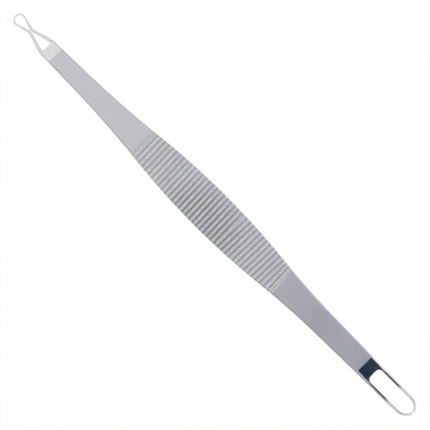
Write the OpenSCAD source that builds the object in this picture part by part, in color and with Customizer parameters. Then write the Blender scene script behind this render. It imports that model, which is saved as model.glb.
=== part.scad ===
// Blackhead extractor: a flat satin-steel handle with a ribbed grip and a polished loop at each end.
// The tool lies along X with the large loop toward +X. Its underside rests on the plane Z = 0, and
// the origin is under the middle of its overall length.

/* [Handle] */
// Length of the satin handle between its two seams
handle_len = 102.1; // [85:0.1:125]
// Thickness of the flat stock
handle_t = 2; // [1.6:0.1:3]
// Greatest width of the grip
grip_w = 10.1; // [8.4:0.1:12.2]
// Distance from the small-loop seam to the widest place of the grip
grip_at = 51.5; // [45:0.5:58]
// Radius of the long convex curve along each side of the grip
grip_curve_r = 195; // [160:1:235]
// Rounding of the handle's four long edges
edge_r = 0.45; // [0.2:0.05:0.7]

/* [Necks] */
// Width of the neck at the small-loop seam
small_neck_w = 4.52; // [3.8:0.02:5.4]
// Angle at which each side of the small-loop neck widens toward the grip
small_neck_angle = 1.4; // [0.6:0.1:2]
// Radius of the hollow curve between the small-loop neck and the grip
small_flare_r = 260; // [215:1:310]
// Width of the neck at the large-loop seam
large_neck_w = 5.46; // [4.6:0.02:6.2]
// Angle at which each side of the large-loop neck widens toward the grip
large_neck_angle = 1; // [0.6:0.1:2]
// Radius of the hollow curve between the large-loop neck and the grip
large_flare_r = 210; // [175:1:250]

/* [Grip ribs] */
// Number of ribs across each face
rib_count = 39; // [20:1:40]
// Distance from one groove to the next
rib_pitch = 1.164; // [1:0.01:1.2]
// Depth of the grooves
groove_depth = 0.22; // [0.12:0.01:0.28]
// Width of the flat floor of a groove
groove_floor = 0.1; // [0.05:0.01:0.2]
// Distance from the small-loop seam to the first groove
ribs_at = 29.08; // [20:0.01:33]
// Groove after which the cutter was set again, which leaves one wide rib
reset_groove = 24; // [10:1:38]
// Extra width of that wide rib, which the last rib gives up
reset_step = 0.31; // [0:0.01:0.35]
// How far the rib crests lie under the plain faces
crest_drop = 0.02; // [0.01:0.01:0.05]

/* [Small loop] */
// Inside diameter of the small loop
small_loop_d = 2.25; // [1.6:0.05:2.8]
// Distance from the seam to the middle of the small loop
small_loop_at = 11.8; // [11:0.1:13]
// Width of the strand round the small loop
small_loop_strand = 0.4; // [0.3:0.02:0.5]
// Thickness of the strand round the small loop
small_loop_t = 0.6; // [0.45:0.05:0.8]
// Width of the slit where the two arms come closest
slit_w = 0.25; // [0.15:0.01:0.35]
// Width of each arm beside the slit
waist_strand = 0.62; // [0.5:0.02:0.74]
// Distance from the seam to the slit
waist_at = 8.1; // [7.6:0.1:8.8]
// Radius of each arm's bend beside the slit
waist_r = 2.5; // [2:0.1:2.9]
// Width of each arm at its shoulder
arm_strand = 0.82; // [0.7:0.02:0.95]
// Thickness of each arm
arm_t = 0.95; // [0.8:0.05:1.2]
// Distance from the seam to the start of the shoulder bend
shoulder_at = 2.5; // [2.4:0.05:3.2]
// Radius of each arm's shoulder bend
shoulder_r = 2.4; // [2:0.1:3.2]
// Length of the solid polished root of the small loop
small_root_len = 2.8; // [2.6:0.05:2.9]
// Radius in the two near corners of the small loop's opening
small_corner_r = 0.35; // [0.15:0.05:0.5]
// Angle at which the small loop is bent up from the handle
small_bend = 8; // [0:1:15]

/* [Large loop] */
// Inside width of the large loop
large_loop_w = 3.78; // [3:0.02:4.2]
// Width of each straight strand of the large loop
large_strand = 0.76; // [0.6:0.02:0.9]
// Width of the strand round the end of the large loop
large_end_strand = 0.56; // [0.44:0.02:0.7]
// Thickness of the strands
large_strand_t = 0.9; // [0.7:0.05:1.1]
// Thickness of the strand round the end
large_end_t = 0.7; // [0.55:0.05:0.9]
// Distance from the seam to the near end of the opening
opening_at = 3.12; // [2.4:0.02:3.4]
// Radius of the opening's two near corners
opening_corner_r = 1.1; // [0.5:0.05:1.2]
// Length of the solid polished root of the large loop, opening's near corners included
large_root_len = 4.5; // [4.2:0.1:5]
// Distance from the seam to the bend
bend_at = 9; // [8:0.1:10]
// Length of the bent part, measured along it to the middle of the end strand
bent_len = 7.55; // [6.5:0.05:8.5]
// Length of the half-oval at the end
oval_len = 3.1; // [2.4:0.1:3.8]
// Angle at which the outer half of the large loop is bent up
large_bend = 25; // [10:1:35]

/* [Tangs and bends] */
// Length of each hidden tang inside the handle
tang_len = 6; // [4:0.5:10]
// Thickness of both tangs
tang_t = 0.8; // [0.6:0.05:1]
// Width of the small loop's tang
small_tang_w = 2.4; // [1.8:0.1:2.8]
// Width of the large loop's tang
large_tang_w = 3; // [2.2:0.1:3.4]
// Clearance round each tang in its socket
tang_fit = 0.03; // [0.02:0.01:0.06]
// Inside radius of both bends
bend_r = 2; // [1.5:0.1:3]
// Share of a strand's width that its rounded corners take
strand_round = 0.3; // [0.2:0.05:0.4]

/* [Hidden] */
$fa = 0.5;
$fs = 0.1;

// How far a strand stands proud of the root it grows from
proud = 0.03;
// How far the corner fillets stay under the arms' faces
fillet_sink = 0.045;
// Thickness of the two end slices that a root is stretched between, and the facets round them
root_slice = 0.1;
root_facets = 32;
// Extra reach of cutting shapes, so that no two faces lie on each other
past = 1;
mid_z = handle_t / 2;

// Places along the tool
large_reach = bend_at + flat_to_bent(bent_len + large_end_strand / 2, large_bend)
    + tip_lean(large_end_strand, large_end_t, large_bend);
small_tip = small_loop_at + small_loop_d / 2 + small_loop_strand;
small_reach = small_root_len + flat_to_bent(small_tip - small_root_len, small_bend)
    + tip_lean(small_loop_strand, small_loop_t, small_bend);
overall_len = small_reach + handle_len + large_reach;
small_seam_x = small_reach - overall_len / 2;
large_seam_x = small_seam_x + handle_len;
grip_x = small_seam_x + grip_at;

// Half width of the tool at the middle of each arm or strand
small_root_y = small_neck_w / 2 - arm_strand / 2;
waist_y = slit_w / 2 + waist_strand / 2;
small_loop_r = small_loop_d / 2 + small_loop_strand / 2;
large_strand_y = large_loop_w / 2 + large_strand / 2;
large_end_y = large_loop_w / 2 + large_end_strand / 2;

// Ground length that a flat length covers once it is bent up, with the neutral line at mid_z
function neutral_r() = bend_r + handle_t / 2;
function arc_len(angle) = neutral_r() * angle * PI / 180;
function flat_to_bent(len, angle) =
    neutral_r() * sin(angle) + (len - arc_len(angle)) * cos(angle);

// How far the upper edge of a bent tip leans out past the tip's middle line
function tip_lean(width, thick, angle) = (thick / 2 - strand_round * width) * sin(angle);

// A point of a flat loop, moved to where the bend carries it
function bent(p, start, angle) =
    let (
        run = p[0] - start,
        full = arc_len(angle),
        turn = run <= 0 ? 0 : min(run, full) / full * angle,
        rest = max(run - full, 0),
        arm = neutral_r() - (p[2] - mid_z)
    )
    run <= 0 || angle == 0 ? p : [
        start + arm * sin(turn) + rest * cos(turn),
        p[1],
        mid_z + neutral_r() - arm * cos(turn) + rest * sin(turn)
    ];

// Stations along a path: place, heading, width, thickness and rounding of the section there
function station(x, y, heading, width, thick, round_r) = [x, y, heading, width, thick, round_r];
function strand_station(x, y, heading, width, thick) =
    station(x, y, heading, width, thick, strand_round * width);
function arc_stations(centre, radius, from, to, steps, width, thick) =
    let (way = sign(to - from))
    [for (i = [0 : steps]) let (a = from + (to - from) * i / steps)
        strand_station(centre[0] + radius * cos(a), centre[1] + radius * sin(a), a + 90 * way,
            width, thick)];
// The same stations on the other side of the tool, in the opposite order
function mirrored(stations) =
    [for (i = [len(stations) - 1 : -1 : 0]) let (s = stations[i])
        station(s[0], -s[1], 180 - s[2], s[3], s[4], s[5])];

// Heading of the straight line that crosses from one bend to the next, which turns the other way
function crossing(from, to, radii, side) =
    let (d = to - from)
    atan2(d[1], d[0]) + side * asin(radii / norm(d));

// Corner points of a rounded section, seen along its heading, left side first
section_steps = 2;
function section(width, thick, round_r) =
    [for (quarter = [0 : 3]) for (i = [0 : section_steps])
        let (
            a = 90 * (quarter + i / section_steps),
            left = quarter == 0 || quarter == 3 ? 1 : -1,
            up = quarter < 2 ? 1 : -1
        )
        [left * (width / 2 - round_r) + round_r * cos(a),
         up * (thick / 2 - round_r) + round_r * sin(a)]];

// Side of the tool from the grip's widest place out to a seam, as [distance, half width]:
// the grip curve, then a hollow curve that touches it, then a straight neck that touches that
curve_steps = 9;
function side_points(reach, neck_w, neck_angle, flare_r) =
    let (
        grip_c = [0, grip_w / 2 - grip_curve_r],
        neck_end = [reach, neck_w / 2],
        inward = [-cos(neck_angle), sin(neck_angle)],
        outward = [sin(neck_angle), cos(neck_angle)],
        q = neck_end + flare_r * outward - grip_c,
        along = q * inward,
        neck_run = -along - sqrt(pow(along, 2) - q * q + pow(grip_curve_r + flare_r, 2)),
        flare_c = neck_end + neck_run * inward + flare_r * outward,
        joint_a = atan2(flare_c[1] - grip_c[1], flare_c[0] - grip_c[0])
    )
    concat(
        [for (i = [0 : curve_steps]) let (a = 90 + (joint_a - 90) * i / curve_steps)
            grip_c + grip_curve_r * [cos(a), sin(a)]],
        [for (i = [1 : curve_steps])
            let (a = joint_a - 180 + (90 - neck_angle - joint_a) * i / curve_steps)
            flare_c + flare_r * [cos(a), sin(a)]],
        [neck_end]
    );
large_side_pts = side_points(handle_len - grip_at, large_neck_w, large_neck_angle, large_flare_r);
small_side_pts = side_points(grip_at, small_neck_w, small_neck_angle, small_flare_r);
blank_path = concat(
    [for (i = [len(small_side_pts) - 1 : -1 : 1]) let (p = small_side_pts[i])
        station(grip_x - p[0], 0, 0, 2 * p[1], handle_t, edge_r)],
    [for (p = large_side_pts) station(grip_x + p[0], 0, 0, 2 * p[1], handle_t, edge_r)]
);

// Plan of the small loop's strand, from one root round the loop to the other root
small_shoulder_c = [shoulder_at, small_root_y - shoulder_r];
waist_c = [waist_at, waist_y + waist_r];
small_loop_c = [small_loop_at, 0];
arm_slope = crossing(small_shoulder_c, waist_c, shoulder_r + waist_r, -1);
loop_slope = crossing(waist_c, small_loop_c, waist_r + small_loop_r, 1);
shoulder_steps = 6;
waist_steps = 10;
loop_steps = 28;
small_arm = concat(
    [strand_station(small_root_len - past / 2, small_root_y, 0, arm_strand, arm_t)],
    arc_stations(small_shoulder_c, shoulder_r, 90, 90 + arm_slope, shoulder_steps,
        arm_strand, arm_t),
    arc_stations(waist_c, waist_r, arm_slope - 90, loop_slope - 90, waist_steps,
        waist_strand, (arm_t + small_loop_t) / 2)
);
small_path = concat(
    small_arm,
    arc_stations(small_loop_c, small_loop_r, 90 + loop_slope, -90 - loop_slope, loop_steps,
        small_loop_strand, small_loop_t),
    mirrored(small_arm)
);

// Plan of the large loop's strand, laid flat: straight sides and a half-oval end
bend_steps = 5;
large_side = concat(
    [strand_station(large_root_len - past / 2, large_strand_y, 0, large_strand, large_strand_t)],
    [for (i = [0 : bend_steps])
        strand_station(bend_at + arc_len(large_bend) * i / bend_steps, large_strand_y, 0,
            large_strand, large_strand_t)]
);
oval_at = bend_at + bent_len - oval_len;
oval_steps = 26;
large_oval = [for (i = [0 : oval_steps])
    let (
        a = 90 - 180 * i / oval_steps,
        end_share = cos(a),
        half_w = large_strand_y + (large_end_y - large_strand_y) * end_share
    )
    strand_station(oval_at + oval_len * cos(a), half_w * sin(a),
        atan2(-half_w * cos(a), oval_len * sin(a)),
        large_strand + (large_end_strand - large_strand) * end_share,
        large_strand_t + (large_end_t - large_strand_t) * end_share)];
large_path = concat(large_side, large_oval, mirrored(large_side));

// A skin over the sections of a path, bent up past the start of a bend
module loft(path, start, angle) {
    sides = 4 * (section_steps + 1);
    last = len(path) - 1;
    points = [for (s = path) for (q = section(s[3], s[4], s[5]))
        bent([s[0] - q[0] * sin(s[2]), s[1] + q[0] * cos(s[2]), mid_z + q[1]], start, angle)];
    walls = [for (i = [0 : last - 1]) for (j = [0 : sides - 1])
        [i * sides + j, (i + 1) * sides + j,
         (i + 1) * sides + (j + 1) % sides, i * sides + (j + 1) % sides]];
    near_end = [for (j = [0 : sides - 1]) j];
    far_end = [for (j = [sides - 1 : -1 : 0]) last * sides + j];
    polyhedron(points, concat([near_end, far_end], walls), convexity = 6);
}

// A plate with rounded long edges, which runs along +X
module plate(width, thick, round_r, len) {
    translate([0, 0, mid_z])
        rotate([90, 0, 90])
            linear_extrude(len)
                union() {
                    square([width - 2 * round_r, thick], center = true);
                    square([width, thick - 2 * round_r], center = true);
                    for (y = [-1, 1]) for (z = [-1, 1])
                        translate([y * (width / 2 - round_r), z * (thick / 2 - round_r)])
                            circle(round_r);
                }
}

// The tapered root between a seam and the strands, ground down on both faces
module loop_root(neck_w, strand_edge, strand_thick, len) {
    end_w = strand_edge - 2 * proud;
    end_t = strand_thick - 2 * proud;
    hull() {
        plate(neck_w, handle_t, edge_r, root_slice, $fn = root_facets);
        translate([len - root_slice, 0, 0])
            plate(end_w, end_t, edge_r / 2, root_slice, $fn = root_facets);
    }
}

// A hidden tang, which runs along -X from a seam
module tang(width, thick, len) {
    translate([-len, 0, mid_z])
        rotate([90, 0, 90])
            linear_extrude(len + past / 2)
                union() {
                    square([width - thick, thick], center = true);
                    for (y = [-1, 1])
                        translate([y * (width - thick) / 2, 0])
                            circle(thick / 2);
                }
}

// The socket for a tang, which runs along -X from a seam
module socket(width) {
    tang(width + 2 * tang_fit, tang_t + 2 * tang_fit, tang_len + tang_fit);
}

// Place of each groove along the tool
function groove_x(k) =
    small_seam_x + ribs_at + k * rib_pitch + (k > reset_groove && k < rib_count ? reset_step : 0);
// Radius of a rounded crest between two groove floors that lie this far apart
function crest_r(width) = (pow(width / 2, 2) + pow(groove_depth, 2)) / (2 * groove_depth);

// The cutter for one face's grooves: a bar less the rounded crest of each rib
module rib_cutter() {
    from = groove_x(0) - rib_pitch / 2;
    to = groove_x(rib_count) + rib_pitch / 2;
    top = handle_t - crest_drop;
    translate([0, grip_w, 0])
        rotate([90, 0, 0])
            linear_extrude(2 * grip_w)
                difference() {
                    translate([from, top - groove_depth])
                        square([to - from, groove_depth + past]);
                    for (k = [0 : rib_count + 1]) {
                        left = k == 0 ? groove_x(0) - rib_pitch : groove_x(k - 1);
                        right = k > rib_count ? groove_x(rib_count) + rib_pitch : groove_x(k);
                        r = crest_r(right - left - groove_floor);
                        translate([(left + right) / 2, top - r])
                            circle(r);
                    }
                }
}

module handle() {
    color("silver")
        difference() {
            loft(blank_path, handle_len, 0);
            rib_cutter();
            translate([0, 0, handle_t])
                mirror([0, 0, 1])
                    rib_cutter();
            translate([large_seam_x, 0, 0])
                socket(large_tang_w);
            translate([small_seam_x, 0, 0])
                mirror([1, 0, 0])
                    socket(small_tang_w);
        }
}

// Fillets in the two near corners of the small loop's opening
module root_corners() {
    corner_y = small_neck_w / 2 - arm_strand;
    thick = arm_t - 2 * fillet_sink;
    for (side = [0, 1])
        mirror([0, side, 0])
            translate([small_root_len - small_corner_r, corner_y - small_corner_r,
                    mid_z - thick / 2])
                linear_extrude(thick)
                    difference() {
                        square(2 * small_corner_r);
                        translate([2 * small_corner_r, 0])
                            circle(small_corner_r);
                    }
}

module small_loop() {
    color("gainsboro")
        translate([small_seam_x, 0, 0])
            mirror([1, 0, 0])
                union() {
                    loop_root(small_neck_w, small_neck_w, arm_t, small_root_len);
                    root_corners();
                    loft(small_path, small_root_len, small_bend);
                    tang(small_tang_w, tang_t, tang_len);
                }
}

// The large loop's opening where it cuts into the root
module root_opening() {
    half_w = large_loop_w / 2 + proud;
    translate([0, 0, -past])
        linear_extrude(handle_t + 2 * past)
            union() {
                for (y = [-1, 1])
                    translate([opening_at + opening_corner_r, y * (half_w - opening_corner_r)])
                        circle(opening_corner_r);
                translate([opening_at, opening_corner_r - half_w])
                    square([large_root_len, 2 * (half_w - opening_corner_r)]);
                translate([opening_at + opening_corner_r, -half_w])
                    square([large_root_len, 2 * half_w]);
            }
}

module large_loop() {
    color("slategray")
        translate([large_seam_x, 0, 0])
            union() {
                difference() {
                    loop_root(large_neck_w, large_loop_w + 2 * large_strand, large_strand_t,
                        large_root_len);
                    root_opening();
                }
                loft(large_path, bend_at, large_bend);
                tang(large_tang_w, tang_t, tang_len);
            }
}

handle();
small_loop();
large_loop();
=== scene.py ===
"""Visual model of a blackhead extractor: satin handle, ribbed grip, polished loop at each end."""

import logging
import math
from dataclasses import dataclass, field
from enum import Enum
from typing import Sequence, Union

import bpy
from mathutils import Matrix, Vector


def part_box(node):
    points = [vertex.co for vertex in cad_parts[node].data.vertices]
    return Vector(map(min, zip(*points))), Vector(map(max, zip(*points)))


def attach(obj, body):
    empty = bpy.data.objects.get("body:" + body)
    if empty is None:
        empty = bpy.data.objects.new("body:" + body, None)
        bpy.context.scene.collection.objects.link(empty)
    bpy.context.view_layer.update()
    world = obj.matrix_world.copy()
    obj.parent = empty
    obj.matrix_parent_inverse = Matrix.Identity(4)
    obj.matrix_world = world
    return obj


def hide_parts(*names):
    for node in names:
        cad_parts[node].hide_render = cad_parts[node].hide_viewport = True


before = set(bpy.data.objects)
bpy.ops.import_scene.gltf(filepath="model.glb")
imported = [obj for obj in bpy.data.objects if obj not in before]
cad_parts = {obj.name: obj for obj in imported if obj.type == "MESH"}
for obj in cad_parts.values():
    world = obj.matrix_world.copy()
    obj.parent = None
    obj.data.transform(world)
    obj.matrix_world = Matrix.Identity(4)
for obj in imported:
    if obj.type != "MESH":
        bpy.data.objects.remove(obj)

log = logging.getLogger("extractor")

# Every size below is in millimetres, and MM turns it into metres.
MM = 0.001

# The groove mark at the top of a rib. It grows to 1 at a groove's floor, and plain steel has 0.
CREST_MARK = 0.1

# How far an edge profile's last row of points lies from the edge, as a share of its width.
PROFILE_REACH = 1.12

# Plan is a place in plan, or a width with a depth. Solid is a point, or a colour. Row is the
# values in one row of a table. Feed is what an input socket takes.
Plan = tuple[float, float]
Solid = tuple[float, float, float]
Row = tuple[float, ...]
Feed = Union[float, int, Sequence[float], "Wire"]


class Slot(Enum):
    """Names of the record's material slots."""

    SATIN = "satin_steel"
    POLISHED = "polished_steel"


@dataclass(frozen=True)
class Noise:
    """One noise of a finish.

    The scale is in cycles for each millimetre along, across and up. Values below the first
    limit turn to 0 and values over the second to 1. Without limits they stay as they are.
    """

    scale: Solid
    detail: float = 2.0
    rough: float = 0.5
    limits: tuple[float, ...] = ()


# Shader graph


class Wire:
    """One output socket of a node. Arithmetic on it adds Math nodes to its graph."""

    def __init__(self, graph: "Graph", socket: bpy.types.NodeSocket) -> None:
        """Keeps the output socket and the graph that it belongs to."""
        self.graph = graph
        self.socket = socket

    def _math(self, operation: str, *feeds: Feed) -> "Wire":
        """Adds one Math node and returns its output."""
        return self.graph.node("ShaderNodeMath", {"operation": operation}, dict(enumerate(feeds)))

    def __add__(self, other: Feed) -> "Wire":
        """Sum of this value and another."""
        return self._math("ADD", self, other)

    def __radd__(self, other: Feed) -> "Wire":
        """Sum with this value on the right."""
        return self._math("ADD", other, self)

    def __sub__(self, other: Feed) -> "Wire":
        """This value less another."""
        return self._math("SUBTRACT", self, other)

    def __rsub__(self, other: Feed) -> "Wire":
        """Another value less this one."""
        return self._math("SUBTRACT", other, self)

    def __mul__(self, other: Feed) -> "Wire":
        """Product of this value and another."""
        return self._math("MULTIPLY", self, other)

    def __rmul__(self, other: Feed) -> "Wire":
        """Product with this value on the right."""
        return self._math("MULTIPLY", other, self)

    def clamp(self, low: float = 0.0, high: float = 1.0) -> "Wire":
        """This value held between two limits."""
        return self.graph.node("ShaderNodeClamp", {}, {"Value": self, "Min": low, "Max": high})

    def ease(self, low: float, high: float) -> "Wire":
        """Smooth step of this value.

        Args:
            low: the value that turns to 0.
            high: the value that turns to 1.

        Returns:
            The step, of 0 to 1.
        """
        return self.graph.node(
            "ShaderNodeMapRange", {"interpolation_type": "SMOOTHSTEP"},
            {"Value": self, "From Min": low, "From Max": high})


class Graph:
    """Node graph of one material or world."""

    def __init__(self, tree: bpy.types.NodeTree) -> None:
        """Empties the tree and keeps it."""
        self.tree = tree
        tree.nodes.clear()

    def add(self, kind: str, settings: dict[str, object],
            feeds: dict[Union[str, int], Feed]) -> bpy.types.Node:
        """Adds a node of any type.

        Args:
            kind: the node's type name.
            settings: the node's own settings, set before its sockets.
            feeds: numbers, tuples or wires for its input sockets, by name or index.

        Returns:
            The node.
        """
        made = self.tree.nodes.new(kind)
        for name, value in settings.items():
            setattr(made, name, value)
        for key, feed in feeds.items():
            socket = made.inputs[key]
            if isinstance(feed, Wire):
                self.tree.links.new(feed.socket, socket)
            elif socket.type == "RGBA" and len(feed) == 3:
                socket.default_value = (*feed, 1.0)
            else:
                socket.default_value = feed
        return made

    def node(self, kind: str, settings: dict[str, object], feeds: dict[Union[str, int], Feed],
             out: Union[str, int] = 0) -> Wire:
        """Adds a node, as add does, and gives back its first output or the one that out names."""
        return Wire(self, self.add(kind, settings, feeds).outputs[out])

    def blend(self, share: Feed, low: Feed, high: Feed) -> Wire:
        """Mix of two colours, where a share of 0 gives the first and 1 the second."""
        return self.node("ShaderNodeMix", {"data_type": "RGBA"}, {0: share, 6: low, 7: high}, 2)

    def along(self, axis: str) -> Wire:
        """One object coordinate, in metres."""
        spot = self.node("ShaderNodeTexCoord", {}, {}, "Object")
        return self.node("ShaderNodeSeparateXYZ", {}, {"Vector": spot}, axis)

    def noise(self, kind: Noise) -> Wire:
        """Adds a noise over the object's own coordinates.

        Args:
            kind: its scale, its finer layers and its limits.

        Returns:
            The noise value, of 0 to 1.
        """
        spot = self.node("ShaderNodeTexCoord", {}, {}, "Object")
        place = self.node("ShaderNodeVectorMath", {"operation": "MULTIPLY"},
                          {0: spot, 1: tuple(cycles / MM for cycles in kind.scale)})
        value = self.node("ShaderNodeTexNoise", {},
                          {"Vector": place, "Scale": 1.0, "Detail": kind.detail,
                           "Roughness": kind.rough}, "Fac")
        return value.ease(*kind.limits) if kind.limits else value

    def mark(self, name: str) -> Wire:
        """A value stored on the mesh's points."""
        return self.node("ShaderNodeAttribute", {"attribute_name": name}, {}, "Fac")

    def metal(self, tone: Wire, rough: Wire, height: Wire, depth: float, strength: float) -> None:
        """Closes the graph as bare metal with a fine relief.

        Args:
            tone: the metal's colour.
            rough: its roughness.
            height: the relief, from 0 to 1.
            depth: depth of the relief in millimetres.
            strength: how much of the relief shows.
        """
        lift = self.node("ShaderNodeBump", {},
                         {"Strength": strength, "Distance": depth * MM, "Height": height})
        shade = self.node("ShaderNodeBsdfPrincipled", {},
                          {"Base Color": tone, "Metallic": 1.0, "Roughness": rough,
                           "Normal": lift})
        self.add("ShaderNodeOutputMaterial", {}, {"Surface": shade})


def new_material(name: str) -> tuple[bpy.types.Material, Graph]:
    """Makes a material with nodes.

    Args:
        name: the material's name.

    Returns:
        The material and its empty graph.
    """
    made = bpy.data.materials.new(name)
    made.use_nodes = True
    return made, Graph(made.node_tree)


# Finishes


@dataclass(frozen=True)
class SatinSteel:
    """Matt steel with a fine lengthwise grain, worn bright along its edges, a painted highlight line
    on each crest and painted shade in the grooves and over the grip's middle.
    """

    name: str = "satin_steel_blasted"
    colour: Solid = (0.66, 0.66, 0.70)
    # Tone of the pits and streaks on the ribs, also painted shade in the groove floors.
    dull_and_shade: Solid = (0.42, 0.425, 0.44)
    # Deeper painted shade in the groove floors over the grip's middle.
    middle_groove_shade: Solid = (0.26, 0.26, 0.27)
    # Tone of the worn bright edges and flecked crests, also the painted highlight line on the crests.
    bright: Solid = (0.84, 0.84, 0.85)
    # Painted shade over the grip's middle.
    middle_shade_tone: Solid = (0.56, 0.575, 0.585)
    clouded: float = 0.93
    roughness: float = 0.33
    rough_range: Plan = (0.12, 0.7)
    grain_depth: float = 0.006
    grain_strength: float = 0.35
    # Middle and reach of the patch of painted shade over the grip's middle.
    shade_spot: Plan = (-1.0, -3.6)
    shade_reach: Plan = (10.5, 7.5)
    shade_fade: float = 1.6
    grain: Noise = Noise((1.2, 14.0, 14.0), 3.0, 0.6)
    grit: Noise = Noise((9.0, 9.0, 9.0), 2.0, 0.7)
    cloud: Noise = Noise((0.09, 0.22, 0.22))
    fleck: Noise = Noise((3.2, 2.2, 2.2), 3.0, 0.75, (0.36, 0.62))
    streak: Noise = Noise((0.5, 0.03, 0.03), 1.0, limits=(0.32, 0.68))
    scuff: Noise = Noise((0.5, 2.6, 2.6), 4.0, 0.62, (0.56, 0.74))
    # Groove marks between which the steel turns from crest to the groove floor, which carries painted
    # shade.
    floor_limits: Plan = (0.12, 0.75)
    # Shares of the grain and the grit in the relief.
    relief: Plan = (0.6, 0.4)
    # How strongly each mark shows in the colour.
    cloud_share: float = 0.35
    grain_share: float = 0.25
    # How strongly the painted shade over the grip's middle shows.
    middle_shade_share: float = 0.55
    fleck_share: float = 0.7
    pit_share: float = 0.6
    streak_share: float = 0.25
    # How strongly the painted shade in the groove floors shows, and how much grit breaks it up.
    groove_shade_share: float = 0.65
    grit_share: float = 0.4
    # How strongly the deeper painted shade in the middle's groove floors shows.
    middle_groove_shade_share: float = 0.75
    # How much the painted shade over the grip's middle weakens the worn edges and the painted crest
    # highlight.
    shade_dims_wear_and_sheen: float = 0.7
    scuff_share: float = 0.55
    # How much each mark adds to the roughness.
    grain_rough: float = 0.10
    cloud_rough: float = 0.08
    groove_rough: float = 0.12
    # Less roughness along the worn edges and the painted crest highlight.
    wear_and_sheen_smooth: float = 0.10

    def material(self) -> bpy.types.Material:
        """Builds the material with its grain, clouding, worn bright edges, painted crest highlights
        and painted shade in the grooves and over the grip's middle.

        Returns:
            The satin finish.
        """
        made, g = new_material(self.name)
        grain, grit, cloud = g.noise(self.grain), g.noise(self.grit), g.noise(self.cloud)
        groove, middle_shade, wear_and_sheen_mask = g.mark("groove"), self.middle_shade(g), self.wear_and_sheen_mask(g)
        tone = g.blend((cloud * self.cloud_share + grain * self.grain_share).clamp(), self.colour,
                       tuple(c * self.clouded for c in self.colour))
        # Painted shade over the grip's middle.
        tone = g.blend(middle_shade * self.middle_shade_share, tone, self.middle_shade_tone)
        tone = self.ribbed(g, tone, groove, grit, middle_shade)
        # Worn bright edges and the painted highlight line on the crests, weaker under the painted
        # shade of the middle.
        tone = g.blend(wear_and_sheen_mask * (1 - middle_shade * self.shade_dims_wear_and_sheen), tone, self.bright)
        rough = self.roughness + (grain - 0.5) * self.grain_rough \
            + (cloud - 0.5) * self.cloud_rough + groove * self.groove_rough \
            - wear_and_sheen_mask * self.wear_and_sheen_smooth
        height = grain * self.relief[0] + grit * self.relief[1]
        g.metal(tone, rough.clamp(*self.rough_range), height, self.grain_depth,
                self.grain_strength)
        return made

    def wear_and_sheen_mask(self, g: Graph) -> Wire:
        """1 where edges are worn bright and where crests carry a painted highlight line, broken up by
        scuffs.
        """
        scuffed = g.noise(self.scuff) * self.scuff_share
        return (g.mark("wear_and_sheen") * (1 - self.scuff_share + scuffed)).clamp()

    def ribbed(self, g: Graph, tone: Wire, groove: Wire, grit: Wire, middle_shade: Wire) -> Wire:
        """Colours the ribs: flecked crests, pits and streaks, and painted shade in the groove floors,
        deepest over the grip's middle.

        Args:
            g: the material's graph.
            tone: the plain steel's colour.
            groove: the groove mark, 0 outside the ribs.
            grit: fine noise that breaks up the dull grooves.
            middle_shade: the mask of the painted shade over the grip's middle.

        Returns:
            The colour with the ribs' marks.
        """
        fleck, streak = g.noise(self.fleck), g.noise(self.streak)
        ribs, low = groove.ease(0.0, CREST_MARK), groove.ease(*self.floor_limits)
        crests = ribs * (1 - low)
        tone = g.blend(crests * fleck * self.fleck_share, tone, self.bright)
        tone = g.blend(ribs * (1 - fleck) * self.pit_share, tone, self.dull_and_shade)
        tone = g.blend(ribs * streak * self.streak_share, tone, self.dull_and_shade)
        # Painted shade in the groove floors, broken up by grit.
        groove_shade = low * (self.groove_shade_share + grit * self.grit_share)
        tone = g.blend(groove_shade.clamp(), tone, self.dull_and_shade)
        # Deeper painted shade in the groove floors over the grip's middle.
        return g.blend((middle_shade * low * self.middle_groove_shade_share).clamp(), tone, self.middle_groove_shade)

    def middle_shade(self, g: Graph) -> Wire:
        """1 where painted shade darkens the middle of the grip, fading to 0 round it.

        Args:
            g: the material's graph.

        Returns:
            The fading mask.
        """
        parts = [(g.along(axis) - at * MM) * (1.0 / (reach * MM))
                 for axis, at, reach in zip("XY", self.shade_spot, self.shade_reach)]
        away = parts[0] * parts[0] + parts[1] * parts[1]
        return 1 - away.ease(0.0, self.shade_fade)


@dataclass(frozen=True)
class PolishedSteel:
    """Bright steel, buffed by hand, with faint lengthwise polishing lines and soft waves."""

    name: str = "polished_steel_buffed"
    colour: Solid = (0.73, 0.73, 0.74)
    smeared: Solid = (0.66, 0.665, 0.68)
    roughness: float = 0.07
    rough_range: Plan = (0.03, 0.4)
    wave_depth: float = 0.004
    wave_strength: float = 0.25
    lines: Noise = Noise((1.5, 22.0, 22.0), 3.0, 0.6)
    smear: Noise = Noise((0.7, 1.1, 1.1), 3.0, 0.55, (0.46, 0.70))
    wave: Noise = Noise((0.35, 0.7, 0.7), 1.0)
    # Shares of the waves and the lines in the relief.
    relief: Plan = (0.7, 0.3)
    # How strongly each mark shows in the colour.
    smear_share: float = 0.45
    line_share: float = 0.2
    # How much each mark adds to the roughness.
    mark_rough: float = 0.05
    wear_rough: float = 0.02

    def material(self) -> bpy.types.Material:
        """Builds the material with its polishing lines, smears and waves.

        Returns:
            The polished finish.
        """
        made, g = new_material(self.name)
        lines, smear, wave = g.noise(self.lines), g.noise(self.smear), g.noise(self.wave)
        tone = g.blend((smear * self.smear_share + lines * self.line_share).clamp(), self.colour,
                       self.smeared)
        rough = self.roughness + (lines - 0.5) * self.mark_rough + smear * self.mark_rough \
            + g.mark("wear_and_sheen") * self.wear_rough
        height = wave * self.relief[0] + lines * self.relief[1]
        g.metal(tone, rough.clamp(*self.rough_range), height, self.wave_depth,
                self.wave_strength)
        return made


# Mesh work


def add_object(name: str, data: bpy.types.ID) -> bpy.types.Object:
    """Puts a new object in the scene.

    Args:
        name: the object's name.
        data: its mesh, light or camera.

    Returns:
        The object.
    """
    made = bpy.data.objects.new(name, data)
    bpy.context.scene.collection.objects.link(made)
    return made


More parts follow.
